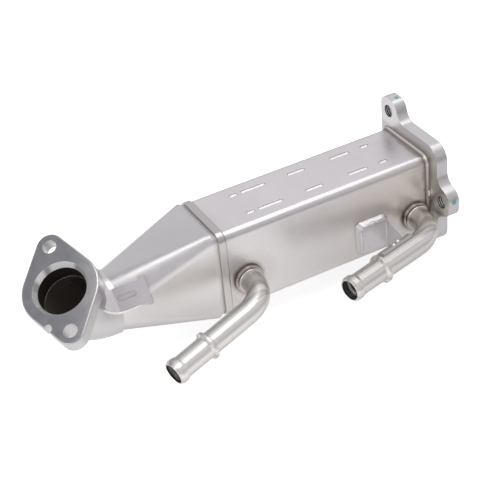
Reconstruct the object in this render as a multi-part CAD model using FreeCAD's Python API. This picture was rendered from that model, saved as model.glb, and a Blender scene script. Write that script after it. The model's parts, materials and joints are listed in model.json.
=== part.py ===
import FreeCAD, Part
import math
import os

os.makedirs("parts", exist_ok=True)
V = FreeCAD.Vector

# Gas cooler for an engine's exhaust recirculation circuit, all stainless steel.
# Millimetres. The origin is the middle of the outlet flange's mating face.
# The body runs from there towards -X, the coolant pipes leave its -Y side, +Z is up.

# Fits
braze_gap = 0.05
slip_gap = 0.1

# Shell: a rectangular can, belled at the inlet end to take the diffuser
shell_width = 49.2
shell_height = 60.0
shell_wall = 1.5
shell_corner = 5.5
body_length = 162.0
shell_setback = 1.5
bell_length = 4.4
bell_step = 1.2
bell_slope = 1.0

# Pressed grooves in the top of the shell: distance from the inlet end, and length
groove_rows_y = (-11.3, 11.5)
groove_spans = ((30.4, 6.0), (44.7, 18.0), (76.6, 13.0), (109.4, 15.0), (128.7, 6.0))
groove_width = 3.2
groove_depth = 0.9
groove_floor_width = 1.6

# Tube bundle: flat gas tubes, each with a corrugated fin folded from sheet
tube_count = 7
coolant_gap = 2.2
coolant_end_gap = 2.3
coolant_side_gap = 2.1
tube_corner = 2.2
tube_wall = 0.6
fin_sheet = 0.3
fin_fold_count = 19
fin_side_gap = 0.4
fin_setback = 1.5
header_sheet = 2.0
header_from_inlet = 7.0
header_from_outlet = 9.0
tube_stand_out = 1.0
support_sheet = 1.0
support_places = (0.38, 0.6)

# Inlet diffuser: a pressed cone from the belled end down to a round mouth
diffuser_wall = 1.5
diffuser_seat_gap = 0.8
diffuser_shoulder = 4.0
shoulder_side_bulge = 0.5
shoulder_end_bulge = 2.2
diffuser_corner = 6.0
shoulder_drop = 0.4
diffuser_length = 66.6
diffuser_end_r = 19.4
diffuser_drop = 4.1
diffuser_flat = 0.2

# Elbow and diamond flange at the gas inlet; the flange has a spigot inside the elbow
elbow_wall = 1.5
elbow_lap = 2.0
elbow_lead = 2.2
elbow_bend_r = 26.0
neck_lean_deg = 21.8
neck_roll_deg = 18.3
inlet_face_from_bend = 17.3
spigot_depth = 16.0
spigot_wall = 3.9
neck_weld_leg = 2.5
inlet_flange_thickness = 9.0
inlet_flange_margin = 3.5
inlet_bolt_margin = 9.0
inlet_twist_deg = 13.6
inlet_hole_r = 4.5
inlet_ear_wall = 4.3
inlet_edge_round = 1.0
seat_width = 2.0
seat_depth = 4.0
notch_radius = 2.8
notch_from_bolt = 6.0
notch_depth = 4.0

# Clip bracket on the diffuser: corners as (along, down, radius), feet as spans
clip_sheet = 1.6
clip_turn_deg = 10.0
clip_outline = (
    (-12.0, -3.6, 0.5),
    (15.6, -3.6, 0.5),
    (15.6, -5.8, 0.5),
    (20.0, -5.8, 0.8),
    (20.0, 13.4, 1.5),
    (16.6, 13.4, 0.8),
    (16.6, 11.2, 0.8),
    (-12.0, 11.2, 9.0),
)
clip_feet = ((1.0, 14.0, -3.6, -2.0), (18.4, 20.0, 4.0, 12.0))
clip_foot_reach = 12.0
clip_slot = (6.2, 3.6, 12.0, 3.6)

# Outlet flange: a plate with three ears
outlet_flange_thickness = 8.0
outlet_front_margin = 10.8
outlet_back_margin = 4.0
outlet_end_margin = 6.8
outlet_rise = 3.4
outlet_hole_r = 4.2
outlet_ear_wall = 4.3
outlet_ear_tip = 9.8
back_hole_stand_out = 3.5
front_hole_stand_out = 4.4
outlet_corner_r = 11.0
outlet_blend_r = 9.0
outlet_ear_root = 3.0
ear_outer_round = 0.8
ear_inner_round = 0.9
ear_tip_round = 0.95
outlet_weld_leg = 2.2
weld_toe = 0.3

# Coolant pipes: bent tube with a stop bead and a tip bead, in a brazed collar
pipe_r = 7.5
pipe_wall = 1.0
pipe_lead = 6.2
pipe_bend_r = 21.5
pipe_bend_deg = 78.0
pipe_straight = 60.5
stop_bead_from_tip = 27.9
stop_bead_height = 2.0
stop_bead_width = 4.2
tip_bead_height = 0.9
tip_bead_width = 7.0
stop_bead_crown = 0.4
tip_bead_rise = 0.3
tip_bead_fall = 0.25
inlet_pipe_from_end = 18.1
inlet_pipe_z = -7.9
inlet_pipe_roll_deg = 11.2
outlet_pipe_from_face = 18.4
outlet_pipe_z = -10.8
outlet_pipe_roll_deg = 3.0
collar_width = 2.5
collar_height = 2.4
collar_round = 1.2
collar_lead_in = 0.8
root_bead_r = 1.0
root_bead_height = 1.2
root_bead_gap = 0.1

# Stay bracket between the shell and the outlet pipe
stay_sheet = 1.8
pan_from_pipe = 34.1
pan_z = -12.0
pan_width = 24.0
pan_height = 25.0
pan_corner = 4.0
pan_rise = 3.2
pan_slope = 1.6
pan_window = (10.5, 13.0, 2.5)
pan_window_shift = 1.5
arm_from_pipe = 24.2
arm_root = ((-11.0, 0.9), (9.4, 0.9))
arm_tip = ((6.4, 8.9), (0.0, 3.4), (-8.0, 5.4))
saddle_start = 3.0
saddle_end = 29.0
saddle_wrap_deg = 85.0

shell_x0 = -body_length
shell_x1 = -shell_setback
front_y = -shell_width / 2
inner_w = shell_width - 2 * shell_wall
inner_h = shell_height - 2 * shell_wall
inner_r = shell_corner - shell_wall
elbow_inner_r = diffuser_end_r + slip_gap
elbow_outer_r = elbow_inner_r + elbow_wall
collar_r = pipe_r + collar_width


def save(shape, name):
    shape.exportStep("parts/" + name + ".step")


def rounded_wire(width, height, radius, x, z=0.0):
    """Rounded rectangle standing across the body at distance x."""
    hw = width / 2
    hh = height / 2
    k = radius * (1 - math.sqrt(0.5))
    edges = []
    corners = ((1, 1), (-1, 1), (-1, -1), (1, -1))
    points = []
    for sy, sz in corners:
        a = V(x, sy * hw, z + sz * (hh - radius))
        m = V(x, sy * (hw - k), z + sz * (hh - k))
        b = V(x, sy * (hw - radius), z + sz * hh)
        points.append((a, m, b) if sy == sz else (b, m, a))
    for i, (a, m, b) in enumerate(points):
        edges.append(Part.Arc(a, m, b).toShape())
        following = points[(i + 1) % 4][0]
        edges.append(Part.makeLine(b, following))
    return Part.Wire(edges)


def rounded_bar(width, height, radius, x0, x1):
    face = Part.Face(rounded_wire(width, height, radius, x0))
    return face.extrude(V(x1 - x0, 0, 0))


def loft(*wires):
    return Part.makeLoft(list(wires), True, True)


def fuse(shapes):
    body = shapes[0]
    for extra in shapes[1:]:
        body = body.fuse(extra)
    return body.removeSplitter()


def stadium(length, width, x, y, z):
    """Wire round a slot that lies flat, long along X."""
    r = width / 2
    s = length / 2 - r
    a = V(x - s, y - r, z)
    b = V(x + s, y - r, z)
    c = V(x + s, y + r, z)
    d = V(x - s, y + r, z)
    right = Part.Arc(b, V(x + s + r, y, z), c).toShape()
    left = Part.Arc(d, V(x - s - r, y, z), a).toShape()
    return Part.Wire([Part.makeLine(a, b), right, Part.makeLine(c, d), left])


def rounded_outline(corners, place):
    """Closed wire from (u, v, radius) corners, set in space by place(u, v)."""
    count = len(corners)
    spots = [place(u, v) for u, v, radius in corners]
    runs = []
    for i, (u, v, radius) in enumerate(corners):
        here = spots[i]
        back = (spots[i - 1] - here).normalize()
        ahead = (spots[(i + 1) % count] - here).normalize()
        half_angle = back.getAngle(ahead) / 2
        reach = radius / math.tan(half_angle)
        middle = (back + ahead).normalize() * (radius / math.sin(half_angle) - radius)
        runs.append((here + back * reach, here + middle, here + ahead * reach))
    edges = []
    for i, (start, middle, end) in enumerate(runs):
        edges.append(Part.Arc(start, middle, end).toShape())
        edges.append(Part.makeLine(end, runs[(i + 1) % count][0]))
    return Part.Wire(edges)


# Shell

def can_solid(inset):
    """The shell's outside at inset 0, its inside at inset shell_wall."""
    w = shell_width - 2 * inset
    h = shell_height - 2 * inset
    r = shell_corner - inset
    mouth_end = shell_x0 + bell_length
    main_start = mouth_end + bell_slope
    bell = (w + 2 * bell_step, h + 2 * bell_step, r + bell_step)
    mouth = rounded_bar(*bell, shell_x0, mouth_end)
    slope = loft(rounded_wire(*bell, mouth_end), rounded_wire(w, h, r, main_start))
    return fuse([mouth, slope, rounded_bar(w, h, r, main_start, shell_x1)])


def groove_tool(from_end, length, y, top, extra):
    """A pressed groove's form, enlarged all round by extra, down from the height top."""
    x = shell_x0 + from_end
    upper = stadium(length + extra, groove_width + extra, x, y, top)
    lower = stadium(length - groove_width + groove_floor_width + extra,
                    groove_floor_width + extra, x, y, top - groove_depth)
    return loft(upper, lower)


shell = can_solid(0).cut(can_solid(shell_wall))
for row_y in groove_rows_y:
    for from_end, length in groove_spans:
        inner_top = shell_height / 2 - shell_wall
        shell = shell.fuse(groove_tool(from_end, length, row_y, inner_top, shell_wall))
        shell = shell.cut(groove_tool(from_end, length, row_y, shell_height / 2, 0))
shell = shell.removeSplitter()

pipes = {
    "inlet": (shell_x0 + inlet_pipe_from_end, inlet_pipe_z, inlet_pipe_roll_deg),
    "outlet": (-outlet_pipe_from_face, outlet_pipe_z, outlet_pipe_roll_deg),
}
for x, z, roll in pipes.values():
    hole = Part.makeCylinder(pipe_r + braze_gap, 3 * shell_wall,
                             V(x, front_y - shell_wall, z), V(0, 1, 0))
    shell = shell.cut(hole)
save(shell, "shell")


# Tube bundle

tube_width = inner_w - 2 * coolant_side_gap
tube_height = (inner_h - 2 * coolant_end_gap - (tube_count - 1) * coolant_gap) / tube_count
tube_pitch = tube_height + coolant_gap
fin_fold_pitch = (tube_width - 2 * tube_corner - 2 * fin_side_gap) / fin_fold_count
support_relief = coolant_end_gap + tube_height + slip_gap
header_x = (shell_x0 + header_from_inlet, -header_from_outlet - header_sheet)
tube_x0 = header_x[0] - tube_stand_out
tube_x1 = header_x[1] + header_sheet + tube_stand_out
tube_heights = [(i - (tube_count - 1) / 2) * tube_pitch for i in range(tube_count)]


def tube_bar(x0, x1, grow, z):
    bar = rounded_bar(tube_width + 2 * grow, tube_height + 2 * grow,
                      tube_corner + grow, x0, x1)
    bar.translate(V(0, 0, z))
    return bar


def slotted_plate(x, sheet, relief):
    gap = braze_gap
    plate = rounded_bar(inner_w - 2 * gap, inner_h - 2 * gap, inner_r - gap, x, x + sheet)
    for z in tube_heights:
        plate = plate.cut(tube_bar(x - sheet, x + 2 * sheet, gap, z))
    if relief:
        side = inner_h / 2 - relief if relief > 0 else -inner_h / 2
        strip = Part.makeBox(sheet, inner_w, abs(relief), V(x, -inner_w / 2, side))
        plate = plate.cut(strip)
    return plate


def fin_face(x, z):
    """Folded sheet seen end on: flat crests and troughs joined by upright webs."""
    half = tube_height / 2 - tube_wall - braze_gap
    t = fin_sheet
    start = -fin_fold_count * fin_fold_pitch / 2
    upper = []
    lower = []
    for i in range(fin_fold_count):
        crest = i % 2 == 0
        left = start + i * fin_fold_pitch
        right = left + fin_fold_pitch
        shift = t / 2 if crest else -t / 2
        first = left if i == 0 else left - shift
        last = right if i == fin_fold_count - 1 else right + shift
        high = half if crest else -half + t
        upper += [V(x, first, z + high), V(x, last, z + high)]
        first = left if i == 0 else left + shift
        last = right if i == fin_fold_count - 1 else right - shift
        low = half - t if crest else -half
        lower += [V(x, first, z + low), V(x, last, z + low)]
    loop = upper + lower[::-1]
    return Part.Face(Part.makePolygon(loop + loop[:1]))


save(slotted_plate(header_x[0], header_sheet, 0), "inlet_header")
save(slotted_plate(header_x[1], header_sheet, 0), "outlet_header")
for i, place in enumerate(support_places):
    x = header_x[0] + place * (header_x[1] - header_x[0])
    relief = support_relief if i % 2 == 0 else -support_relief
    save(slotted_plate(x, support_sheet, relief), "tube_support_%d" % (i + 1))
for i, z in enumerate(tube_heights):
    tube = tube_bar(tube_x0, tube_x1, 0, z).cut(tube_bar(tube_x0 - 1, tube_x1 + 1, -tube_wall, z))
    save(tube, "gas_tube_%d" % (i + 1))
    fin = fin_face(tube_x0 + fin_setback, z).extrude(V(tube_x1 - tube_x0 - 2 * fin_setback, 0, 0))
    save(fin, "gas_fin_%d" % (i + 1))


# Inlet diffuser

cone_end_x = shell_x0 - diffuser_length
shoulder_x = shell_x0 - diffuser_shoulder
diffuser_width = shell_width + 2 * shoulder_side_bulge
diffuser_height = shell_height + 2 * shoulder_end_bulge


def diffuser_solid(inset):
    spare = slip_gap + inset
    w = shell_width + 2 * bell_step - 2 * shell_wall - 2 * spare
    h = shell_height + 2 * bell_step - 2 * shell_wall - 2 * spare
    r = shell_corner + bell_step - shell_wall - spare
    end_r = diffuser_end_r - inset
    spigot = rounded_bar(w, h, r, shell_x0, shell_x0 + bell_length - diffuser_seat_gap)
    mouth = rounded_wire(w, h, r, shell_x0)
    shoulder = rounded_wire(diffuser_width - 2 * inset, diffuser_height - 2 * inset,
                            diffuser_corner - inset, shoulder_x, -shoulder_drop)
    end = rounded_wire(2 * end_r, 2 * end_r, end_r - diffuser_flat, cone_end_x, -diffuser_drop)
    lap = Part.Face(end).extrude(V(-elbow_lap, 0, 0))
    return fuse([spigot, loft(mouth, shoulder), loft(shoulder, end), lap])


diffuser_outside = diffuser_solid(0)
save(diffuser_outside.cut(diffuser_solid(diffuser_wall)), "inlet_diffuser")


# Gas inlet: drawn in an upright plane, then rolled towards the front

roll_centre = V(0, 0, -diffuser_drop)
bend_start = V(cone_end_x - elbow_lead, 0, -diffuser_drop)
bend_centre = bend_start + V(0, 0, elbow_bend_r)
lean = math.radians(neck_lean_deg)
neck_axis = V(-math.sin(lean), 0, math.cos(lean))
bend_end = bend_centre + V(-math.cos(lean), 0, -math.sin(lean)) * elbow_bend_r
face_centre = bend_end + neck_axis * inlet_face_from_bend
elbow_turn_deg = 90 - neck_lean_deg


def roll(shape):
    shape.rotate(roll_centre, V(1, 0, 0), neck_roll_deg)
    return shape


def elbow_solid(radius):
    disc = Part.Face(Part.Wire(Part.makeCircle(radius, bend_start, V(1, 0, 0))))
    bend = disc.revolve(bend_centre, V(0, 1, 0), elbow_turn_deg)
    lead = Part.makeCylinder(radius, elbow_lead, bend_start, V(1, 0, 0))
    tail_length = inlet_face_from_bend - inlet_flange_thickness
    tail = Part.makeCylinder(radius, tail_length, bend_end, neck_axis)
    return fuse([lead, bend, tail])


elbow_outside = roll(elbow_solid(elbow_outer_r))
save(elbow_outside.cut(roll(elbow_solid(elbow_inner_r))), "inlet_elbow")


inlet_flange_r = elbow_outer_r + inlet_flange_margin
inlet_ear_r = inlet_hole_r + inlet_ear_wall
bolt_reach = elbow_outer_r + inlet_bolt_margin
sin_a = (inlet_flange_r - inlet_ear_r) / bolt_reach
cos_a = math.sqrt(1 - sin_a * sin_a)


def diamond_wire():
    """Outline of the inlet flange about its middle, with its long axis along Y."""
    points = []
    for sx, sy in ((1, 1), (-1, 1), (-1, -1), (1, -1)):
        side = V(sx * inlet_flange_r * cos_a, sy * inlet_flange_r * sin_a, 0)
        ear = V(sx * inlet_ear_r * cos_a, sy * (bolt_reach + inlet_ear_r * sin_a), 0)
        points.append((side, ear))
    (s1, e1), (s2, e2), (s3, e3), (s4, e4) = points
    top = V(0, bolt_reach + inlet_ear_r, 0)
    left = V(-inlet_flange_r, 0, 0)
    edges = [
        Part.makeLine(s1, e1),
        Part.Arc(e1, top, e2).toShape(),
        Part.makeLine(e2, s2),
        Part.Arc(s2, left, s3).toShape(),
        Part.makeLine(s3, e3),
        Part.Arc(e3, -top, e4).toShape(),
        Part.makeLine(e4, s4),
        Part.Arc(s4, -left, s1).toShape(),
    ]
    return Part.Wire(edges)


def place_on_neck(shape):
    """Move a shape drawn on the XY plane so that z = 0 is the inlet's mating face."""
    shape.rotate(V(0, 0, 0), V(0, 0, 1), -inlet_twist_deg)
    shape.rotate(V(0, 0, 0), V(0, 1, 0), -neck_lean_deg)
    shape.translate(face_centre)
    return roll(shape)


thickness = inlet_flange_thickness
flange = Part.Face(diamond_wire()).extrude(V(0, 0, -thickness))
mating_face = max(flange.Faces, key=lambda face: face.CenterOfMass.z)
flange = flange.makeFillet(inlet_edge_round, mating_face.OuterWire.Edges)
spigot_r = elbow_inner_r - slip_gap
neck_bore_r = spigot_r - spigot_wall
seat_r = neck_bore_r + seat_width
spigot = Part.makeCylinder(spigot_r, spigot_depth, V(0, 0, -spigot_depth))
flange = fuse([flange, spigot])
flange = flange.cut(Part.makeCylinder(neck_bore_r, spigot_depth, V(0, 0, -spigot_depth)))
flange = flange.cut(Part.makeCone(neck_bore_r, seat_r, seat_depth, V(0, 0, -seat_depth)))
for side in (-1, 1):
    at = V(0, side * bolt_reach, -thickness)
    flange = flange.cut(Part.makeCylinder(inlet_hole_r, thickness, at))
edge_normal = V(-cos_a, -sin_a, 0)
notch_along = bolt_reach - notch_from_bolt
edge_x = (inlet_flange_r - notch_along * sin_a) / edge_normal.x
notch_at = V(edge_x, -notch_along, -thickness) - edge_normal * (notch_depth - notch_radius)
notch = Part.makeCylinder(notch_radius, thickness, notch_at)
across = V(-edge_normal.y, edge_normal.x, 0) * notch_radius
outward = edge_normal * (2 * notch_depth)
loop = [notch_at + across, notch_at - across, notch_at - across + outward, notch_at + across + outward]
notch = notch.fuse(Part.Face(Part.makePolygon(loop + loop[:1])).extrude(V(0, 0, thickness)))
flange = flange.cut(notch)
save(place_on_neck(flange), "inlet_flange")

weld_at = V(0, 0, -thickness - neck_weld_leg)
weld = Part.makeCone(elbow_outer_r + weld_toe, elbow_outer_r + neck_weld_leg, neck_weld_leg, weld_at)
weld = weld.cut(Part.makeCylinder(elbow_outer_r, neck_weld_leg, weld_at))
save(place_on_neck(weld), "inlet_flange_weld")


# Clip bracket on the diffuser: a slotted sheet along its upper front corner

def front_corner(half_width, half_height, radius, x, drop):
    """Middle of a section's rounded upper front corner."""
    k = radius * (1 - math.sqrt(0.5))
    return V(x, -half_width + k, half_height - k - drop)


corner_near = front_corner(diffuser_width / 2, diffuser_height / 2, diffuser_corner,
                           shoulder_x, shoulder_drop)
corner_far = front_corner(diffuser_end_r, diffuser_end_r, diffuser_end_r,
                          cone_end_x, diffuser_drop)
along = (corner_near - corner_far).normalize()
down = V(0, -1, -1)
down = (down - along * along.dot(down)).normalize()
outward = down.cross(along)
turn = FreeCAD.Rotation(outward, -clip_turn_deg)
along = turn.multVec(along)
down = turn.multVec(down)
clip_stand = elbow_outer_r - diffuser_end_r
to_clip = FreeCAD.Placement(corner_far + outward * clip_stand,
                            FreeCAD.Rotation(along, down * -1, outward, "ZXY"))
clip = Part.Face(rounded_outline(clip_outline, lambda u, v: V(u, -v, 0)))
clip = clip.extrude(V(0, 0, clip_sheet))
for u0, u1, v0, v1 in clip_feet:
    foot = Part.makeBox(u1 - u0, v1 - v0, clip_foot_reach, V(u0, -v1, clip_sheet - clip_foot_reach))
    clip = clip.fuse(foot)
slot_u, slot_v, slot_length, slot_width = clip_slot
slot = Part.Face(stadium(slot_length, slot_width, slot_u, -slot_v, 0))
clip = clip.cut(slot.extrude(V(0, 0, clip_sheet)))
clip.Placement = to_clip
clip = clip.removeSplitter().cut(diffuser_outside).cut(elbow_outside)
clip = max(clip.Solids, key=lambda solid: solid.Volume)
save(clip, "diffuser_bracket")


# Outlet flange

ear = outlet_hole_r + outlet_ear_wall
outlet_front_y = front_y - outlet_front_margin
outlet_back_y = shell_width / 2 + outlet_back_margin
outlet_half_height = shell_height / 2 + outlet_end_margin
outlet_back_hole_y = outlet_back_y - ear
outlet_back_hole_up = outlet_half_height + back_hole_stand_out
outlet_front_hole_y = outlet_front_y - front_hole_stand_out
top_z = outlet_back_hole_up + outlet_ear_tip
inner_y = outlet_back_hole_y - ear
root_y = inner_y - outlet_ear_root
tip_y = outlet_front_hole_y - ear
half_outline = [
    (outlet_back_y, top_z, ear * ear_outer_round),
    (inner_y, top_z, ear * ear_inner_round),
    (root_y, outlet_half_height, outlet_blend_r),
    (outlet_front_y, outlet_half_height, outlet_corner_r),
    (outlet_front_y, ear + outlet_ear_root, outlet_blend_r),
    (tip_y, ear, ear * ear_tip_round),
]
outline = half_outline + [(y, -z, radius) for y, z, radius in half_outline[::-1]]
outlet_wire = rounded_outline(outline, lambda y, z: V(0, y, z))
outlet_plate = Part.Face(outlet_wire).extrude(V(-outlet_flange_thickness, 0, 0))
outlet_plate.translate(V(0, 0, outlet_rise))
window = rounded_bar(shell_width + 2 * braze_gap, shell_height + 2 * braze_gap,
                     shell_corner + braze_gap, -outlet_flange_thickness, 0)
outlet_plate = outlet_plate.cut(window)
outlet_holes = (
    (outlet_back_hole_y, outlet_rise + outlet_back_hole_up),
    (outlet_front_hole_y, outlet_rise),
    (outlet_back_hole_y, outlet_rise - outlet_back_hole_up),
)
for y, z in outlet_holes:
    drill = Part.makeCylinder(outlet_hole_r, outlet_flange_thickness, V(0, y, z), V(-1, 0, 0))
    outlet_plate = outlet_plate.cut(drill)
save(outlet_plate, "outlet_flange")

weld_x1 = -outlet_flange_thickness
weld_x0 = weld_x1 - outlet_weld_leg


def grown_shell(grow, x):
    return rounded_wire(shell_width + 2 * grow, shell_height + 2 * grow, shell_corner + grow, x)


weld = loft(grown_shell(weld_toe, weld_x0), grown_shell(outlet_weld_leg, weld_x1))
weld = weld.cut(rounded_bar(shell_width, shell_height, shell_corner, weld_x0, weld_x1))
pipe_x, pipe_z = pipes["outlet"][:2]
weld_break = Part.makeCylinder(collar_r + slip_gap, 2 * outlet_weld_leg,
                               V(pipe_x, front_y, pipe_z), V(0, -1, 0))
save(weld.cut(weld_break), "outlet_flange_weld")


# Coolant pipes: drawn with the bend in a level plane, then rolled about the root

def bead_profile(inset):
    """Outline of the straight end as (distance along, radius), from the bend to the tip."""
    r = pipe_r - inset
    bead = r + stop_bead_height
    tip = r + tip_bead_height
    middle = pipe_straight - stop_bead_from_tip
    half = stop_bead_width / 2
    tip_start = pipe_straight - tip_bead_width
    return [
        (0, r),
        (middle - half, r),
        (middle - half * stop_bead_crown, bead),
        (middle + half * stop_bead_crown, bead),
        (middle + half, r),
        (tip_start, r),
        (tip_start + tip_bead_width * tip_bead_rise, tip),
        (pipe_straight - tip_bead_width * tip_bead_fall, tip),
        (pipe_straight, r),
    ]


def rim_edges(ring, radius):
    """The collar's circle of the given radius on the side away from the shell."""
    rims = [e for e in ring.Edges if e.BoundBox.Center.y < -collar_height / 2]
    return [e for e in rims if abs(e.BoundBox.XLength - 2 * radius) < 0.01]


def pipe_solid(inset, depth):
    """Round bar along the pipe's path, starting depth inside the shell's front face."""
    r = pipe_r - inset
    lead = Part.makeCylinder(r, pipe_lead + depth, V(0, depth, 0), V(0, -1, 0))
    if inset == 0:
        bead_out = collar_height + root_bead_gap + root_bead_r
        bead = Part.makeTorus(r + root_bead_height - root_bead_r, root_bead_r,
                              V(0, -bead_out, 0), V(0, 1, 0))
        lead = lead.fuse(bead)
    start = V(0, -pipe_lead, 0)
    centre = start + V(-pipe_bend_r, 0, 0)
    disc = Part.Face(Part.Wire(Part.makeCircle(r, start, V(0, 1, 0))))
    bend = disc.revolve(centre, V(0, 0, 1), -pipe_bend_deg)
    points = [V(a, radius, 0) for a, radius in bead_profile(inset)]
    loop = [V(0, 0, 0)] + points + [V(pipe_straight, 0, 0), V(0, 0, 0)]
    straight = Part.Face(Part.makePolygon(loop)).revolve(V(0, 0, 0), V(1, 0, 0), 360)
    return fuse([lead, bend, along_straight(straight)])


def place_pipe(shape, x, z, roll_deg):
    shape.rotate(V(0, 0, 0), V(0, 1, 0), -roll_deg)
    shape.translate(V(x, front_y, z))
    return shape


def along_straight(shape):
    """Move a shape drawn along +X from the bend's end to its place on the pipe."""
    turn = math.radians(pipe_bend_deg)
    shape.rotate(V(0, 0, 0), V(0, 0, 1), -90 - pipe_bend_deg)
    out = V(-pipe_bend_r, -pipe_lead, 0)
    shape.translate(out + V(math.cos(turn), -math.sin(turn), 0) * pipe_bend_r)
    return shape


for name, (x, z, roll_deg) in pipes.items():
    tube = pipe_solid(0, shell_wall).cut(pipe_solid(pipe_wall, shell_wall))
    save(place_pipe(tube, x, z, roll_deg), "coolant_%s_pipe" % name)
    ring = Part.makeCylinder(collar_r, collar_height, V(0, 0, 0), V(0, -1, 0))
    bore_r = pipe_r + braze_gap
    ring = ring.cut(Part.makeCylinder(bore_r, collar_height, V(0, 0, 0), V(0, -1, 0)))
    ring = ring.makeFillet(collar_round, rim_edges(ring, collar_r))
    ring = ring.makeChamfer(collar_lead_in, rim_edges(ring, bore_r))
    save(place_pipe(ring, x, z, 0), "%s_pipe_collar" % name)


# Stay bracket on the shell: a pressed pan, an arm out to the outlet pipe and a saddle on it

stay_pipe_x = pipes["outlet"][0]


def pan_solid(inset):
    foot = (pan_width - 2 * inset, pan_height - 2 * inset, pan_corner - inset / 2)
    crown = (foot[0] - 2 * pan_slope, foot[1] - 2 * pan_slope, foot[2])
    base = loft(rounded_wire(*foot, 0), rounded_wire(*crown, pan_rise - inset))
    base.rotate(V(0, 0, 0), V(0, 0, 1), -90)
    base.translate(V(stay_pipe_x - pan_from_pipe, front_y, pan_z))
    return base


pan = pan_solid(0).cut(pan_solid(stay_sheet))
window = Part.Face(rounded_wire(*pan_window, 0)).extrude(V(2 * pan_rise, 0, 0))
window.rotate(V(0, 0, 0), V(0, 0, 1), -90)
window.translate(V(stay_pipe_x - pan_from_pipe - pan_window_shift, front_y, pan_z))
pan = pan.cut(window)
bend = math.radians(pipe_bend_deg)
past_bend = arm_from_pipe - pipe_bend_r * (1 - math.cos(bend))
pipe_out = pipe_lead + pipe_bend_r * math.sin(bend) + past_bend / math.tan(bend)
arm_x = stay_pipe_x - arm_from_pipe
arm_points = [V(arm_x, front_y - out, pan_z + up) for up, out in arm_root]
arm_points += [V(arm_x, front_y - pipe_out + short, pan_z + up) for up, short in arm_tip]
arm = Part.Face(Part.makePolygon(arm_points + arm_points[:1])).extrude(V(stay_sheet, 0, 0))
saddle_r = pipe_r + braze_gap
corners = [V(saddle_start, -saddle_r, 0), V(saddle_end, -saddle_r, 0),
           V(saddle_end, -saddle_r - stay_sheet, 0), V(saddle_start, -saddle_r - stay_sheet, 0)]
saddle = Part.Face(Part.makePolygon(corners + corners[:1]))
saddle = saddle.revolve(V(0, 0, 0), V(1, 0, 0), -saddle_wrap_deg)
saddle = place_pipe(along_straight(saddle), *pipes["outlet"])
sleeve = Part.makeCylinder(saddle_r, saddle_end + saddle_start, V(0, 0, 0), V(1, 0, 0))
sleeve = place_pipe(along_straight(sleeve), *pipes["outlet"])
stay = fuse([pan, arm.cut(sleeve), saddle])
save(stay, "shell_bracket")
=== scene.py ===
import json
import math

import bpy
from mathutils import Matrix, Vector


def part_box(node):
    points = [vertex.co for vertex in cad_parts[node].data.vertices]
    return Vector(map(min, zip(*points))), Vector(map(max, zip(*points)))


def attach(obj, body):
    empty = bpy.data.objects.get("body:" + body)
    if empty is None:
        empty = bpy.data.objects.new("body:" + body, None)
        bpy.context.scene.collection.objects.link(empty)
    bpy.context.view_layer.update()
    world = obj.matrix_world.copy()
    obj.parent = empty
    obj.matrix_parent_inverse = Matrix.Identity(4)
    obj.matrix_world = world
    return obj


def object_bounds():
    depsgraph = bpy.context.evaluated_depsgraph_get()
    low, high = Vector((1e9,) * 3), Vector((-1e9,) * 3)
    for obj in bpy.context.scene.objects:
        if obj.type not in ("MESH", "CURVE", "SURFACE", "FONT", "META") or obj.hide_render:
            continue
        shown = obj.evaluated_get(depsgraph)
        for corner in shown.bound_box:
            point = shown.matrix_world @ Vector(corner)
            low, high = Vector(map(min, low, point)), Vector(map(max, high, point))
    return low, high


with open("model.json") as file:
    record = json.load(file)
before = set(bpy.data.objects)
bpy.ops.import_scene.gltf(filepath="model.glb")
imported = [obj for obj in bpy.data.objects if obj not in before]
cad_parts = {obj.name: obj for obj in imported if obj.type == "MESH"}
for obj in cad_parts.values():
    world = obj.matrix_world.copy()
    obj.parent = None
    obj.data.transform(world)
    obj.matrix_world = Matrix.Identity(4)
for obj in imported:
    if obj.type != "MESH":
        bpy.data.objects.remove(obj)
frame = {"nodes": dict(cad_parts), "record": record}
cad_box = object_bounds()
nodes = frame["nodes"]
object_middle = (cad_box[0] + cad_box[1]) / 2


# Camera: the photograph's angle and framing
camera_place = Vector((-0.4638, -0.6893, 0.5400))
camera_azimuth = math.radians(-25.47)
camera_elevation = math.radians(35.10)
camera_roll = math.radians(-5.87)
camera_lens = 109.82
sensor_width = 36

camera = bpy.data.objects.new("camera", bpy.data.cameras.new("camera"))
bpy.context.collection.objects.link(camera)
camera.data.sensor_width = sensor_width
camera.data.lens = camera_lens
turn = (Matrix.Rotation(camera_azimuth, 3, "Z")
        @ Matrix.Rotation(math.pi / 2 - camera_elevation, 3, "X")
        @ Matrix.Rotation(camera_roll, 3, "Z"))
camera.location = camera_place
camera.rotation_euler = turn.to_euler()
bpy.context.scene.camera = camera
bpy.context.scene.view_settings.view_transform = "Standard"


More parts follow.
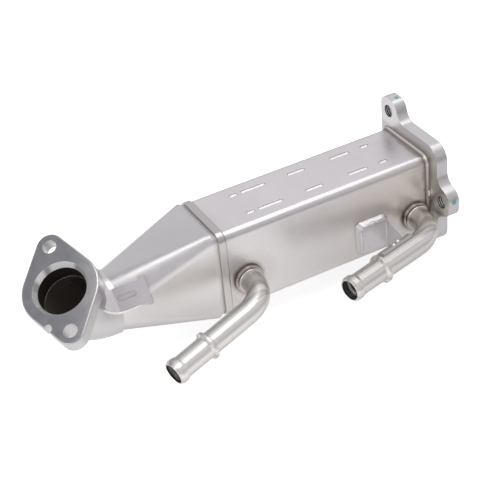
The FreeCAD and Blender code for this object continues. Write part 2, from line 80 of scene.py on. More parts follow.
# Node helpers
class Nodes:
    """Short calls for building one material's or world's node tree."""

    def __init__(self, tree):
        self.tree = tree
        tree.nodes.clear()

    def add(self, kind, inputs=None, **settings):
        node = self.tree.nodes.new(kind)
        for key, value in settings.items():
            setattr(node, key, value)
        for key, value in (inputs or {}).items():
            self.put(node.inputs[key], value)
        return node

    def put(self, socket, value):
        if isinstance(value, bpy.types.NodeSocket):
            self.tree.links.new(value, socket)
        elif isinstance(value, bpy.types.Node):
            self.tree.links.new(value.outputs[0], socket)
        else:
            socket.default_value = value

    def math(self, operation, *values):
        node = self.add("ShaderNodeMath", operation=operation)
        for socket, value in zip(node.inputs, values):
            self.put(socket, value)
        return node.outputs[0]

    def vector(self, operation, *values):
        node = self.add("ShaderNodeVectorMath", operation=operation)
        for socket, value in zip(node.inputs, values):
            self.put(socket, value)
        gives_number = operation in ("LENGTH", "DISTANCE", "DOT_PRODUCT")
        return node.outputs["Value" if gives_number else "Vector"]

    def mix(self, factor, a, b, blend="MIX"):
        node = self.add("ShaderNodeMix", data_type="RGBA", blend_type=blend)
        self.put(node.inputs["Factor"], factor)
        self.put(node.inputs[6], a)
        self.put(node.inputs[7], b)
        return node.outputs[2]

    def band(self, value, low, high, to_low=0.0, to_high=1.0):
        """Smooth step of value from low to high."""
        node = self.add("ShaderNodeMapRange", interpolation_type="SMOOTHSTEP")
        for socket, number in zip(node.inputs, (value, low, high, to_low, to_high)):
            self.put(socket, number)
        return node.outputs[0]

    def under(self, value, limit, soft, strength=1.0):
        """Strength where value is under limit, with a soft change on either side of it."""
        return self.band(value, limit + soft, limit - soft, 0.0, strength)

    def over(self, value, limit, soft, strength=1.0):
        """Strength where value is over limit, with a soft change on either side of it."""
        return self.band(value, limit - soft, limit + soft, 0.0, strength)

    def all_of(self, *masks):
        """The product of several masks."""
        total = masks[0]
        for mask in masks[1:]:
            total = self.math("MULTIPLY", total, mask)
        return total

    def even_colour(self, level, blue=1.0):
        """A grey of a varying level, with its blue a little up or down."""
        blue_level = level if blue == 1.0 else self.math("MULTIPLY", level, blue)
        return self.add("ShaderNodeCombineColor", {0: level, 1: level, 2: blue_level})

    def tint(self, colour, mask, strength, overlay):
        """The colour with another colour over it where the mask says, used for stains and for painted shade.
        """
        return self.mix(self.math("MULTIPLY", mask, strength), colour, overlay)

    def shade(self, colour, mask, overlay):
        """The colour multiplied by a second colour where the mask says, used for painted shade and painted
        light.
        """
        return self.mix(1.0, colour, self.mix(mask, white, overlay), "MULTIPLY")

    def noise(self, place, scale, detail=2.0, stretch=(1, 1, 1)):
        spot = self.add("ShaderNodeMapping", {"Vector": place, "Scale": stretch})
        return self.add("ShaderNodeTexNoise", {"Vector": spot, "Scale": scale, "Detail": detail}).outputs[0]

    def parts(self, vector):
        """The x, y and z of a vector."""
        return list(self.add("ShaderNodeSeparateXYZ", {0: vector}).outputs)

    def along(self, axis, distance):
        """The vector of a varying distance along an axis."""
        spread = self.add("ShaderNodeCombineXYZ", {0: distance, 1: distance, 2: distance})
        return self.vector("MULTIPLY", spread, axis)

    def place(self):
        return self.add("ShaderNodeTexCoord").outputs["Object"]

    def normal(self):
        return self.add("ShaderNodeNewGeometry").outputs["Normal"]


def grey(level):
    return (level, level, level, 1)


# Studio: white floor that keeps the shadow, sky that darkens overhead, soft lamps
white = (1, 1, 1, 1)
sky_tint = (0.975, 0.955, 1.01)
sky_steps = ((-1.0, 0.8), (0.0, 0.5), (0.2, 0.75), (0.5, 0.92),
             (0.62, 0.86), (0.72, 0.78), (0.85, 0.7), (1.0, 0.62))
sky_front_from = -0.1
sky_front_to = -0.6
sky_front_level = 0.74
dark_patch_towards = Vector((-0.36, 0.31, 0.88)).normalized()
dark_patch_outer = 0.955
dark_patch_inner = 0.985
dark_patch_level = 0.3

floor_size = 30
floor_drop = 0.0005
floor_colour = grey(0.8)
floor_far_colour = grey(0.5)
floor_glow = 0.62
floor_mirror_glow = 0.32
floor_bright_x = -0.14
floor_dull_x = 0.06
floor_near = 0.25
floor_far = 0.60

# Name, place from the object's middle, width, height and watts of each lamp
softboxes = (("key_softbox", (0.38, -0.14, 1.35), 1.2, 0.55, 4.6),
             ("left_softbox", (-1.3, -0.3, 0.9), 0.25, 0.9, 2.5),
             ("top_softbox", (-0.28, 0.13, 1.33), 0.32, 0.32, 1.4))


def build_sky():
    world = bpy.data.worlds.new("studio")
    bpy.context.scene.world = world
    world.use_nodes = True
    n = Nodes(world.node_tree)
    direction = n.vector("NORMALIZE", n.add("ShaderNodeTexCoord").outputs["Generated"])
    _, depth, height = n.parts(direction)
    ramp = n.add("ShaderNodeValToRGB", {0: n.math("MULTIPLY_ADD", height, 0.5, 0.5)})
    stops = ramp.color_ramp.elements
    while len(stops) < len(sky_steps):
        stops.new(0.5)
    for stop, (z, level) in zip(stops, sky_steps):
        stop.position = z / 2 + 0.5
        stop.color = (level * sky_tint[0], level * sky_tint[1], level * sky_tint[2], 1)
    front = n.band(depth, sky_front_from, sky_front_to, 1.0, sky_front_level)
    patch = n.vector("DOT_PRODUCT", direction, dark_patch_towards)
    patch = n.band(patch, dark_patch_outer, dark_patch_inner, 1.0, dark_patch_level)
    sky = n.mix(1.0, ramp.outputs[0], n.even_colour(n.all_of(front, patch)), "MULTIPLY")
    seen = n.add("ShaderNodeLightPath").outputs["Is Camera Ray"]
    background = n.add("ShaderNodeBackground", {"Color": n.mix(seen, sky, white), "Strength": 1.0})
    n.add("ShaderNodeOutputWorld", {"Surface": background})


def build_floor():
    bpy.ops.mesh.primitive_plane_add(size=floor_size, location=(0, 0, cad_box[0].z - floor_drop))
    floor = bpy.context.object
    floor.name = "floor"
    material = bpy.data.materials.new("floor")
    material.use_nodes = True
    n = Nodes(material.node_tree)
    rays = n.add("ShaderNodeLightPath")
    mirrored = rays.outputs["Is Glossy Ray"]
    seen = n.math("MAXIMUM", rays.outputs["Is Camera Ray"], rays.outputs["Is Transmission Ray"])
    spot = n.add("ShaderNodeNewGeometry").outputs["Position"]
    mirror_glow = n.band(n.parts(spot)[0], floor_dull_x, floor_bright_x, 0, floor_mirror_glow)
    far = n.band(n.vector("DISTANCE", spot, object_middle), floor_near, floor_far)
    glow = n.math("MULTIPLY_ADD", seen, floor_glow, n.all_of(mirrored, mirror_glow))
    glow = n.add("ShaderNodeEmission", {"Color": white, "Strength": glow})
    colour = n.mix(n.all_of(mirrored, far), floor_colour, floor_far_colour)
    matt = n.add("ShaderNodeBsdfDiffuse", {"Color": colour})
    n.add("ShaderNodeOutputMaterial", {"Surface": n.add("ShaderNodeAddShader", {0: matt, 1: glow})})
    floor.data.materials.append(material)


def add_softbox(name, place, width, height, watts):
    lamp = bpy.data.lights.new(name, "AREA")
    lamp.shape = "RECTANGLE"
    lamp.size = width
    lamp.size_y = height
    lamp.energy = watts
    holder = bpy.data.objects.new(name, lamp)
    holder.location = Vector(place) + object_middle
    holder.rotation_euler = (Vector(place) * -1).to_track_quat("-Z", "Y").to_euler()
    bpy.context.collection.objects.link(holder)


build_sky()
build_floor()
for softbox in softboxes:
    add_softbox(*softbox)


# Places on the object that the materials and the small pieces refer to
mounts = {mount["name"]: mount for mount in frame["record"]["mounts"]}


def place_of(mount):
    return Vector(mounts[mount]["pos_m"])


def axis_of(mount):
    return Vector(mounts[mount]["axis"]).normalized()


def middle(node):
    low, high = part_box(node)
    return (low + high) / 2


shell_low, shell_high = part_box("shell")
bell_step = 0.0012
bell_end = shell_low.x + 0.0056
shell_top = shell_high.z - bell_step
groove_reach = 0.01375
groove_rim_depth = 0.00038
groove_floor_depth = 0.0011
groove_soft = 0.00004
# In each pair of places a mark begins at the first and is full at the second
bell_top_shade_z = (shell_high.z - 0.006, shell_high.z - 0.003)
haze_x = (shell_high.x - 0.100, shell_high.x - 0.020)
haze_y = shell_low.y + 0.0025

inlet_axis = axis_of("gas_inlet_bore")
inlet_bore_r = mounts["gas_inlet_bore"]["dims"]["r_mm"] / 1000
inlet_bore = place_of("gas_inlet_bore")
inlet_centre = inlet_bore + inlet_axis * (place_of("gas_inlet_face") - inlet_bore).dot(inlet_axis)
face_right = Vector((0.873, -0.481, -0.084))
face_up = inlet_axis.cross(face_right).normalized()
seat_depth = 0.00405
seat_outer_r = inlet_bore_r + 0.00205
seat_soft = 0.00015
spigot_end = 0.0155
# Painted highlights in stretches round the seat: degrees from face_right towards face_up, half width and
# level
seat_highlights = ((143, 10, 1.0), (88, 24, 0.95), (200, 20, 0.55))
face_shade = (0.006, 0.026)
elbow_rim_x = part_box("inlet_elbow")[1].x
elbow_bore_r = 0.0195
elbow_inside_from = 0.01525
elbow_tint_depth = (0.020, 0.0115)
inlet_tint_x = (shell_low.x + 0.014, shell_low.x + 0.004)
diffuser_low_z = (0.0, -0.020)

pipe_roots = [middle("inlet_pipe_collar"), middle("outlet_pipe_collar")]
pipe_nipples = {"coolant_inlet_pipe": "coolant_inlet_nipple", "coolant_outlet_pipe": "coolant_outlet_nipple"}
pipe_inside_r = 0.0068
pipe_inside_length = 0.060
# Distances from a pipe's root: full strength within the first, gone past the second
braze_reach = (0.0095, 0.0135)
shell_heat_reach = (0.012, 0.024)
pipe_heat_reach = (0.006, 0.018)

outlet_weld_start, outlet_weld_end = (corner.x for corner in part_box("outlet_flange_weld"))
outlet_tint_x = (outlet_weld_start - 0.0025, outlet_weld_start + 0.0005)
outlet_heat_reach = (0.005, 0.001)
front_hole = place_of("gas_outlet_front_hole")
back_holes = place_of("gas_outlet_holes")
back_spacing = Vector((0, 0, mounts["gas_outlet_holes"]["dims"]["spacing_y_mm"] / 2000))
outlet_holes = (front_hole, back_holes + back_spacing, back_holes - back_spacing)
outlet_hole_r = mounts["gas_outlet_front_hole"]["dims"]["r_mm"] / 1000
thread_pitch = 0.0015
lit_ear_z = 0.011
paint_marks = (Vector((-0.0033, 0.0176, 0.0535)), Vector((-0.0039, -0.0483, 0.0063)))

straw = (0.50, 0.44, 0.39, 1)
pale_straw = (0.76, 0.70, 0.62, 1)
brown = (0.27, 0.22, 0.19, 1)
soot = (0.030, 0.024, 0.020, 1)
elbow_soot = (0.20, 0.17, 0.145, 1)
# Painted shade inside the pipes' ends
pipe_inside_shade = (0.10, 0.09, 0.08, 1)
# The bell's dull finish, and the painted shade on its top
bell_dull_and_shade = (0.42, 0.40, 0.39, 1)
# Painted light on the inlet flange's bore wall
bore_wall_light = (1.0, 0.99, 0.97, 1)
# Painted highlight on the grooves' floors
groove_highlight = (1, 0.99, 0.98, 1)
# Painted light on the outlet flange's lower ear
lower_ear_light = (0.95, 0.92, 0.89, 1)
# Painted light on the diffuser's front faces
painted_front_light = (1.10, 1.09, 1.07, 1)
# Painted shade and painted light across the inlet flange's ground face
face_shaded_side = (0.40, 0.40, 0.415, 1)
face_lit_side = (0.64, 0.63, 0.62, 1)
teal = (0.02, 0.42, 0.38, 1)


# Measures from a point or a line
def near(n, place, centre, inner, outer, ragged=0.25, ragged_scale=120):
    """1 within inner of a point, fading to 0 at outer, with an uneven edge."""
    distance = n.vector("DISTANCE", place, centre)
    uneven = n.math("MULTIPLY_ADD", n.noise(place, ragged_scale, 3), ragged * outer, -ragged * outer / 2)
    return n.band(n.math("ADD", distance, uneven), outer, inner)


def from_axis(n, place, centre, axis):
    """The way from a line to a place, its length, and how far along the line the place is."""
    offset = n.vector("SUBTRACT", place, centre)
    along = n.vector("DOT_PRODUCT", offset, axis)
    outward = n.vector("SUBTRACT", offset, n.along(axis, along))
    return outward, n.vector("LENGTH", outward), along


# Stains and painted light: each function takes a piece's clean colour, roughness and metal and gives back
# the stained and painted ones
def shell_stains_and_painted_light(n, place, colour, rough, metal):
    """Dull bell with painted shade on its top, grooves with painted shade on their rims and painted
    highlights on their floors, heat tint by the welds and pipes.
    """
    x, y, z = n.parts(place)
    uneven_x = n.math("ADD", x, n.math("MULTIPLY_ADD", n.noise(place, 60, 3), 0.016, -0.008))

    # The bell is duller all round, and painted shade makes it darker still on its top
    bell = n.all_of(n.under(x, bell_end, 0.0004), n.band(z, *bell_top_shade_z, 0.15, 0.6))
    colour = n.mix(bell, colour, bell_dull_and_shade)

    # Painted shade on the grooves' rims and a painted highlight on their floors
    on_top = n.under(n.math("ABSOLUTE", y), groove_reach, 0.00025)
    below_top = n.under(z, shell_top - groove_soft, groove_soft / 2)
    shaded_groove_rim = n.over(z, shell_top - groove_rim_depth, groove_soft)
    colour = n.tint(colour, n.all_of(below_top, shaded_groove_rim, on_top), 0.85, brown)
    past_rim = n.under(z, shell_top - groove_rim_depth, groove_soft)
    above_floor = n.over(z, shell_top - groove_floor_depth, 0.0001)
    colour = n.mix(n.all_of(past_rim, above_floor, on_top), colour, groove_highlight)

    haze = n.all_of(n.band(uneven_x, *haze_x, 0.1, 0.7), n.under(y, haze_y, 0.0015))
    colour = n.mix(haze, colour, pale_straw)
    colour = n.mix(n.band(uneven_x, *outlet_tint_x, 0, 0.5), colour, brown)
    colour = n.mix(n.band(uneven_x, *inlet_tint_x, 0, 0.15), colour, straw)
    for root in pipe_roots:
        colour = n.tint(colour, near(n, place, root, *shell_heat_reach), 0.3, straw)
        colour = n.tint(colour, near(n, place, root, *braze_reach), 0.7, brown)
    return colour, rough, metal


def diffuser_shading_and_stains(n, place, colour, rough, metal):
    """Painted shade on the faces that look up, darker towards the bottom, painted light on the front faces,
    and a brown line at the elbow's rim.
    """
    x, _, z = n.parts(place)
    colour = n.shade(colour, n.band(z, *diffuser_low_z, 0, 0.8), grey(0.80))
    # Painted shade on the faces that look up and painted light on the faces that look to the front
    _, towards_back, upward = n.parts(n.normal())
    colour = n.shade(colour, n.band(upward, 0.85, 0.96, 0, 0.8), grey(0.80))
    colour = n.shade(colour, n.over(n.math("MULTIPLY", towards_back, -1), 0.85, 0.10), painted_front_light)
    return n.mix(n.under(x, elbow_rim_x + 0.0005, 0.0003, 0.75), colour, brown), rough, metal


def pipe_stains_and_painted_light(tip, axis):
    """Stains and painted light of one pipe: painted reflection streaks along it, heat tint at its root and
    painted shade inside.
    """
    def stains_and_painted_light(n, place, colour, rough, metal):
        outward, radius, along = from_axis(n, place, tip, axis)
        # Painted reflection: light and dark streaks along the pipe
        painted_reflection_streak = n.band(n.noise(n.vector("NORMALIZE", outward), 2.6, 3), 0.36, 0.64, 0.70, 1.12)
        colour = n.mix(1.0, colour, n.even_colour(painted_reflection_streak, blue=0.98), "MULTIPLY")
        for root in pipe_roots:
            colour = n.tint(colour, near(n, place, root, *pipe_heat_reach), 0.35, straw)
        # Painted shade inside the pipe's open end
        inside = n.all_of(n.under(radius, pipe_inside_r, 0.0002), n.over(along, -pipe_inside_length, 0.002))
        return n.mix(inside, colour, pipe_inside_shade), rough, metal
    return stains_and_painted_light


def collar_stains(n, place, colour, rough, metal):
    """Brown braze at the foot."""
    foot = n.over(n.parts(place)[1], shell_low.y - 0.0010, 0.0006, 0.8)
    return n.mix(foot, colour, brown), rough, metal


def inlet_weld_stains(n, place, colour, rough, metal):
    """Brown patches."""
    return n.mix(n.band(n.noise(place, 260, 3), 0.35, 0.65, 0.2, 0.7), colour, brown), rough, metal


def outlet_weld_shade_lines(n, place, colour, rough, metal):
    """Painted shade: dark brown lines where the bead meets the shell and the flange."""
    x = n.parts(place)[0]
    shell_side = n.under(x, outlet_weld_start + 0.0007, 0.0002)
    flange_side = n.over(x, outlet_weld_end - 0.00055, 0.00015)
    return n.tint(colour, n.math("MAXIMUM", shell_side, flange_side), 0.85, brown), rough, metal


def inlet_flange_stains_and_painted_light(n, place, colour, rough, metal):
    """Ground mating face with painted shade and light across it, rougher seat with painted highlights round
    it, sooty bore, and the bore wall painted light down to the spigot's end.
    """
    _, radius, height = from_axis(n, place, inlet_centre, inlet_axis)
    offset = n.vector("SUBTRACT", place, inlet_centre)
    # Painted light and shade across the ground face, lighter towards face_right
    across = n.vector("DOT_PRODUCT", offset, face_right)
    face_shading = n.mix(n.band(across, *face_shade), face_shaded_side, face_lit_side)
    colour = n.mix(n.over(height, -0.00008, 0.00004), colour, face_shading)

    seat = n.all_of(n.under(radius, seat_outer_r, seat_soft), n.over(height, -seat_depth, seat_soft))
    angle = n.math("ARCTAN2", n.vector("DOT_PRODUCT", offset, face_up), across)
    angle = n.math("MODULO", n.math("ADD", n.math("DEGREES", angle), 360), 360)
    # Painted highlights in stretches round the seat
    seat_highlight = 0.42
    for towards, half_width, level in seat_highlights:
        away = n.math("ABSOLUTE", n.math("SUBTRACT", angle, towards))
        seat_highlight = n.math("MAXIMUM", seat_highlight, n.band(away, half_width + 12, half_width - 4, 0.3, level))
    colour = n.mix(seat, colour, n.even_colour(seat_highlight, blue=0.97))
    rough = n.math("MULTIPLY_ADD", seat, 0.22, rough)

    in_bore = n.under(radius, inlet_bore_r + 0.000075, 0.000025)
    bore = n.all_of(in_bore, n.under(height, -seat_depth, seat_soft))
    metal = n.math("SUBTRACT", 1.0, n.math("MULTIPLY_ADD", seat, 0.85, bore))
    # Painted light on the bore wall down to the spigot's end, soot deeper in
    wall = n.mix(n.under(height, -spigot_end, 0.0001), soot, bore_wall_light)
    return n.mix(bore, colour, wall), rough, metal


def elbow_stains(n, place, colour, rough, metal):
    """Heat tint by the flange, and soot inside."""
    _, radius, height = from_axis(n, place, inlet_centre, inlet_axis)
    depth = n.math("MULTIPLY", height, -1)
    colour = n.mix(n.band(depth, *elbow_tint_depth, 0, 0.6), colour, straw)
    offset = n.vector("SUBTRACT", place, inlet_centre)
    past_flange = n.along(inlet_axis, n.math("ADD", height, 0.010))
    outward = n.vector("DOT_PRODUCT", n.normal(), n.vector("SUBTRACT", offset, past_flange))
    inside = n.all_of(n.under(radius, elbow_bore_r + 0.0004, 0.0002),
                      n.under(height, -elbow_inside_from, 0.00025),
                      n.under(outward, 0, 0.001))
    colour = n.mix(inside, colour, elbow_soot)
    return colour, n.math("MULTIPLY_ADD", inside, 0.3, rough), n.math("MULTIPLY_ADD", inside, -0.8, 1.0)


def outlet_flange_stains_and_painted_light(n, place, colour, rough, metal):
    """Heat tint round the weld, painted light on the lower ear, threads in the holes as painted shade and
    highlights, and two paint marks.
    """
    x, y, z = n.parts(place)
    near_face = n.over(n.math("MULTIPLY", n.parts(n.normal())[0], -1), 0.94, 0.04)
    reach = n.math("MAXIMUM", n.math("SUBTRACT", n.math("ABSOLUTE", y), shell_high.y),
                   n.math("SUBTRACT", n.math("ABSOLUTE", z), shell_high.z))
    colour = n.mix(n.all_of(near_face, n.band(reach, *outlet_heat_reach, 0, 0.35)), colour, brown)
    # Painted light on the near face of the lower ear
    colour = n.mix(n.all_of(near_face, n.under(z, lit_ear_z, 0.007)), colour, lower_ear_light)
    # Painted shade and highlights: the threads in the holes drawn as light crests and dark roots
    turns = n.math("SINE", n.math("MULTIPLY", x, 2 * math.pi / thread_pitch))
    thread_shading = n.even_colour(n.band(turns, -0.3, 0.5, 0.06, 0.9))
    for hole in outlet_holes:
        _, radius, _ = from_axis(n, place, hole, Vector((1, 0, 0)))
        colour = n.mix(n.under(radius, outlet_hole_r + 0.00015, 0.00005), colour, thread_shading)
    for mark in paint_marks:
        colour = n.tint(colour, near(n, place, mark, 0.0010, 0.0022, 0.8), 0.8, teal)
    return colour, rough, metal


# Materials
cloud_scale = 24
mottle_scale = 170


def steel(name, base, roughness, stretch=(1, 1, 1), grain_scale=1400, grain_tone=0.10, bump_depth=0.000004,
          blotch=0.05, edge=0.0004, stains_and_painted_light=None):
    """Satin stainless steel: fine grain drawn out along one way, uneven tone, softened edges,
    and a function of (n, place, colour, rough, metal) that adds stains and painted light and gives back the
    last three."""
    material = bpy.data.materials.new(name)
    material.use_nodes = True
    n = Nodes(material.node_tree)
    place = n.place()
    grain = n.noise(place, grain_scale, 2, stretch)
    cloud = n.noise(place, cloud_scale, 3)
    mottle = n.noise(place, mottle_scale, 2)
    tone = n.all_of(n.math("MULTIPLY_ADD", grain, grain_tone, 1 - grain_tone / 2),
                    n.math("MULTIPLY_ADD", cloud, 3 * blotch, 1 - 1.5 * blotch),
                    n.math("MULTIPLY_ADD", mottle, blotch, 1 - blotch / 2))
    colour = n.mix(1.0, base, n.even_colour(tone), "MULTIPLY")
    rough = n.math("MULTIPLY_ADD", mottle, 0.12, roughness - 0.06)
    rough = n.math("MULTIPLY_ADD", grain, 0.10, n.math("SUBTRACT", rough, 0.05))
    metal = 1.0
    if stains_and_painted_light:
        colour, rough, metal = stains_and_painted_light(n, place, colour, rough, metal)
    soft_edge = n.add("ShaderNodeBevel", {"Radius": edge}, samples=4)
    bump = n.add("ShaderNodeBump", {"Strength": 1.0, "Distance": bump_depth, "Height": grain,
                                    "Normal": soft_edge})
    shader = n.add("ShaderNodeBsdfPrincipled", {
        "Base Color": colour, "Metallic": metal, "Roughness": rough, "Normal": bump})
    n.add("ShaderNodeOutputMaterial", {"Surface": shader})
    return material


def give(material, *names):
    """Puts one material on the named solids."""
    for name in names:
        slots = nodes[name].data.materials
        slots.clear()
        slots.append(material)


give(steel("shell_steel", (0.72, 0.70, 0.695, 1), 0.34, (0.12, 1, 1), stains_and_painted_light=shell_stains_and_painted_light), "shell")
give(steel("diffuser_steel", (0.74, 0.725, 0.72, 1), 0.34, (1, 1, 0.15), edge=0.0035,
           stains_and_painted_light=diffuser_shading_and_stains), "inlet_diffuser")
give(steel("elbow_steel", (0.66, 0.65, 0.645, 1), 0.33, stains_and_painted_light=elbow_stains), "inlet_elbow")
for pipe, nipple in pipe_nipples.items():
    give(steel(pipe + "_steel", (0.74, 0.725, 0.70, 1), 0.38, grain_tone=0.04, bump_depth=0.0000015,
               blotch=0.02, stains_and_painted_light=pipe_stains_and_painted_light(place_of(nipple), axis_of(nipple))), pipe)
give(steel("collar_steel", (0.60, 0.57, 0.54, 1), 0.30, stains_and_painted_light=collar_stains),
     "inlet_pipe_collar", "outlet_pipe_collar")
bracket_steel = steel("bracket_steel", (0.70, 0.68, 0.685, 1), 0.36)
give(bracket_steel, "diffuser_bracket", "shell_bracket")
give(steel("outlet_flange_steel", (0.67, 0.655, 0.64, 1), 0.32, stains_and_painted_light=outlet_flange_stains_and_painted_light),
     "outlet_flange")
give(steel("inlet_flange_steel", (0.62, 0.61, 0.60, 1), 0.32, (0.1, 1, 1), stains_and_painted_light=inlet_flange_stains_and_painted_light),
     "inlet_flange")
give(steel("weld_steel", (0.50, 0.46, 0.43, 1), 0.38, grain_scale=500, bump_depth=0.00006,
           stains_and_painted_light=inlet_weld_stains), "inlet_flange_weld")
give(steel("outlet_weld_steel", (0.62, 0.59, 0.56, 1), 0.36, grain_scale=500, bump_depth=0.00005,
           stains_and_painted_light=outlet_weld_shade_lines), "outlet_flange_weld")
give(steel("inner_steel", (0.34, 0.32, 0.30, 1), 0.40), "inlet_header", "outlet_header",
     "tube_support_1", "tube_support_2", *["gas_tube_%d" % i for i in range(1, 8)],
     *["gas_fin_%d" % i for i in range(1, 8)])
# A lighter steel that paints the highlight on the clip's rolled edge
rim_highlight_steel = steel("rim_highlight_steel", (0.95, 0.93, 0.90, 1), 0.36)
# A lighter steel that paints the highlights on the weld spots
spot_highlight_steel = steel("spot_highlight_steel", (0.80, 0.78, 0.76, 1), 0.30)


# Small forms on the solids: plates, beads and weld spots
def new_piece(name, vertices, faces, material, smooth=False):
    """A mesh that belongs to the cooler's one body."""
    mesh = bpy.data.meshes.new(name)
    mesh.from_pydata(vertices, [], faces)
    piece = bpy.data.objects.new(name, mesh)
    bpy.context.collection.objects.link(piece)
    mesh.materials.append(material)
    for face in mesh.polygons:
        face.use_smooth = smooth
    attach(piece, "root")


def rounded_loop(width, height, radius, steps=6):
    """Points round a rounded rectangle about the origin, as (across, up)."""
    points = []
    for quarter, (sx, sy) in enumerate(((1, 1), (-1, 1), (-1, -1), (1, -1))):
        centre = (sx * (width / 2 - radius), sy * (height / 2 - radius))
        for step in range(steps + 1):
            angle = (quarter + step / steps) * math.pi / 2
            points.append((centre[0] + radius * math.cos(angle), centre[1] + radius * math.sin(angle)))
    return points


def prism(name, loop, place, thickness, material):
    """A flat plate: loop of (across, up) carried by place(across, up, depth)."""
    count = len(loop)
    vertices = [place(a, b, depth) for depth in (0.0, thickness) for a, b in loop]
    sides = [(i, (i + 1) % count, count + (i + 1) % count, count + i) for i in range(count)]
    ends = [tuple(range(count))[::-1], tuple(range(count, 2 * count))]
    new_piece(name, vertices, ends + sides, material)


def tube_along(name, points, radius, material, sides=10, end_share=0.3):
    """A round bead that follows points and narrows to end_share at each end."""
    vertices = []
    last = len(points) - 1
    for i, point in enumerate(points):
        ahead = (points[min(i + 1, last)] - points[max(i - 1, 0)]).normalized()
        side = ahead.cross(Vector((0, -1, 0))).normalized()
        up = side.cross(ahead)
        size = radius * (end_share if i in (0, last) else 1)
        for angle in (2 * math.pi * k / sides for k in range(sides)):
            vertices.append(point + (side * math.cos(angle) + up * math.sin(angle)) * size)
    faces = []
    for low in range(0, last * sides, sides):
        high = low + sides
        for k in range(sides):
            beside = (k + 1) % sides
            faces.append((low + k, low + beside, high + beside, high + k))
    faces += [tuple(range(sides))[::-1], tuple(range(last * sides, len(vertices)))]
    new_piece(name, vertices, faces, material, smooth=True)


def weld_spot(name, place, size, material):
    """A flat drop of weld metal, squashed to size = (x, y, z) half lengths."""
    bpy.ops.mesh.primitive_ico_sphere_add(subdivisions=3, radius=1.0, location=(0, 0, 0))
    spot = bpy.context.object
    spot.name = name
    spot.data.transform(Matrix.Translation(place) @ Matrix.Diagonal((*size, 1.0)))
    for face in spot.data.polygons:
        face.use_smooth = True
    spot.data.materials.append(material)
    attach(spot, "root")


# Stay bracket: a panel in its crown, a raised lip round the left and top, and a fold at the right
crown_rise = 0.0032
crown_y = shell_low.y + bell_step - crown_rise
crown_middle = Vector((-0.0525, crown_y, -0.012))
panel_width = 0.0105
panel_height = 0.013
panel_corner = 0.0025
panel_thickness = 0.0015
panel_shift = -0.0015
lip_r = 0.0011
lip_corner = 0.004
lip_corner_steps = 8
lip_left = crown_middle.x - 0.0096
lip_top = crown_middle.z + 0.0102
lip_bottom = crown_middle.z - 0.0105
fold_r = 0.0007
fold_x = crown_middle.x + 0.0098


def on_panel(across, up, depth):
    """A point on the panel in the crown, depth behind its front."""
    return crown_middle + Vector((panel_shift + across, depth, up))


def on_crown(*points):
    """Points (x, z) on the crown's front."""
    return [Vector((x, crown_y, z)) for x, z in points]


prism("bracket_panel", rounded_loop(panel_width, panel_height, panel_corner), on_panel,
      panel_thickness, bracket_steel)
lip_angles = [step * math.pi / 2 / lip_corner_steps for step in range(lip_corner_steps + 1)]
lip_bend = [(lip_left + lip_corner * (1 - math.cos(t)), lip_top - lip_corner * (1 - math.sin(t)))
            for t in lip_angles]
tube_along("bracket_lip", on_crown((lip_left, lip_bottom), (lip_left, lip_bottom + 0.0025), *lip_bend,
                                   (fold_x - 0.0013, lip_top), (fold_x, lip_top - 0.0006)),
           lip_r, bracket_steel)
tube_along("bracket_fold", on_crown((fold_x, lip_top - 0.0008), (fold_x, lip_top - 0.003),
                                    (fold_x, lip_bottom + 0.0015), (fold_x, lip_bottom)),
           fold_r, bracket_steel)

# Clip plate: the lobe that rises over the elbow past a fold, and the rolled lower edge in a lighter steel
# that paints its highlight, as points (across, down) from the plate's upper right corner
clip_flatness = 0.0003
clip_fold_at = -0.0215
clip_rise = 0.45
clip_thickness = 0.0012
clip_rim_r = 0.0007
clip_lobe = ((-0.0207, 0.0013), (-0.0250, 0.0007), (-0.0263, 0.0016), (-0.0288, 0.0066), (-0.0293, 0.0088),
             (-0.0290, 0.0118), (-0.0278, 0.0134), (-0.0232, 0.0160), (-0.0207, 0.0162))
clip_rim = ((-0.0318, 0.0084), (-0.0306, 0.0112), (-0.0284, 0.0134), (-0.0250, 0.0156), (-0.0220, 0.0167),
            (-0.0140, 0.0171), (-0.0052, 0.0176))


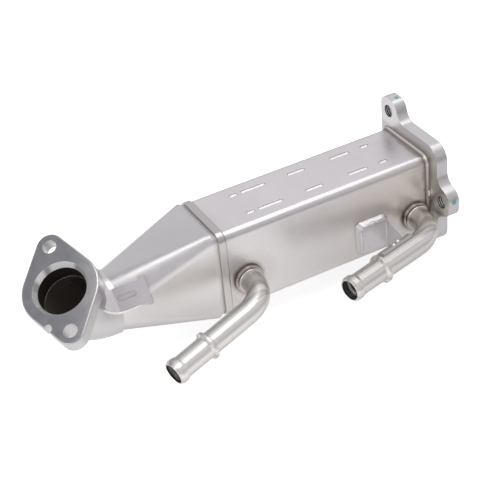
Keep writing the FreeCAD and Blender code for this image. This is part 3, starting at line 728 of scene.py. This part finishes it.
def outer_side(piece):
    """The largest side of a plate that faces up: its normal, and the points on it."""
    areas = {}
    for face in piece.data.polygons:
        key = tuple(round(part, 2) for part in piece.matrix_world.to_3x3() @ face.normal)
        areas[key] = areas.get(key, 0) + face.area
    normal = Vector(max((key for key in areas if key[2] > 0.3), key=areas.get)).normalized()
    points = [piece.matrix_world @ vertex.co for vertex in piece.data.vertices]
    level = max(point.dot(normal) for point in points)
    return normal, [point for point in points if level - point.dot(normal) < clip_flatness]


clip_normal, clip_points = outer_side(nodes["diffuser_bracket"])
clip_across = (Vector((1, 0, 0)) - clip_normal * clip_normal.x).normalized()
clip_down = clip_across.cross(clip_normal)
clip_corner = (clip_across * max(point.dot(clip_across) for point in clip_points)
               + clip_down * min(point.dot(clip_down) for point in clip_points)
               + clip_normal * max(point.dot(clip_normal) for point in clip_points))


def lobe_lift(across):
    """How far the lobe has risen from the plate."""
    return clip_rise * (clip_fold_at - across)


def on_clip(across, down, height):
    """A point measured from the clip plate's corner, height over its face."""
    return clip_corner + clip_across * across + clip_down * down + clip_normal * height


prism("clip_lobe", clip_lobe, lambda across, down, depth: on_clip(across, down, lobe_lift(across) - depth),
      clip_thickness, bracket_steel)
tube_along("clip_rim", [on_clip(across, down, max(lobe_lift(across), 0) - clip_rim_r)
                        for across, down in clip_rim], clip_rim_r, rim_highlight_steel)

# Weld spots in a lighter steel that paints their highlights: name, place and half lengths
weld_spots = (("outlet_weld_spot", (-0.0090, -0.0274, 0.0042), (0.0010, 0.0010, 0.0024)),
              ("bracket_weld_spot", (-0.0533, -0.0277, -0.0014), (0.0018, 0.0014, 0.0014)),
              ("bracket_weld_spot_small", (-0.0505, -0.0277, -0.0015), (0.0011, 0.0011, 0.0011)),
              ("saddle_weld_spot", (-0.0490, -0.0507, -0.0040), (0.0016, 0.0012, 0.0011)),
              ("saddle_weld_spot_end", (-0.0535, -0.0526, -0.0039), (0.0014, 0.0011, 0.0010)))
for name, place, size in weld_spots:
    weld_spot(name, Vector(place), size, spot_highlight_steel)
